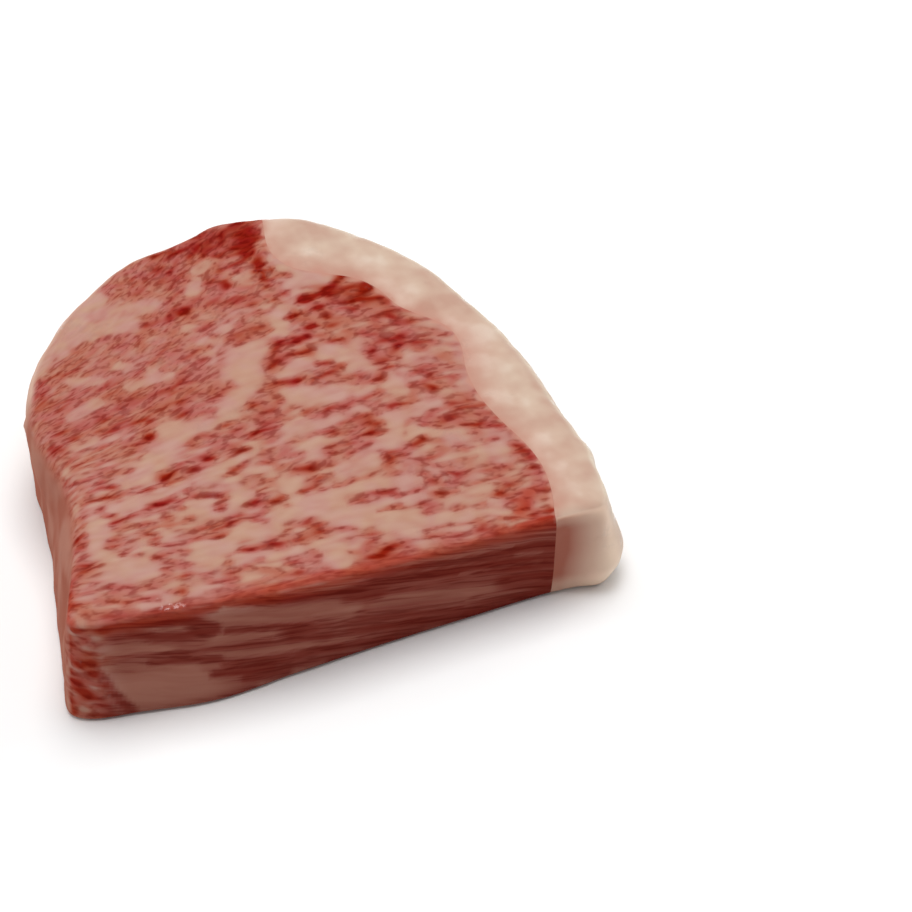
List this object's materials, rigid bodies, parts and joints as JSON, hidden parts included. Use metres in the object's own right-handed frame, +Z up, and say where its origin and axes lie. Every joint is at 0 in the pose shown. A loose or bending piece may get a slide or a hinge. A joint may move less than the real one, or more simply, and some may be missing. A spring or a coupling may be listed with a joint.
{
  "type": "raw beef striploin steak",
  "caption": "Raw marbled striploin steak, a slab cut straight across one side, with a rounded back and a cap of fat along one edge.",
  "frame": {"origin": "centre of the bounding box in plan, at the height of the flat underside", "axes": "+Z up from the flat underside the steak lies on; the straight knife cut faces -Y, the fat cap is on the +X side and the rounded crown on the +Y side"},
  "size_m": [0.1112, 0.1082, 0.024],
  "materials": {
    "marbled_lean": "moist raw muscle, dense fine marbling, soft sheen",
    "fat": "smooth waxy raw fat, soft sheen"
  },
  "bodies": {
    "root": {"marbled_lean": "marbled_lean", "fat_cap": "fat"}
  },
  "joints": []
}
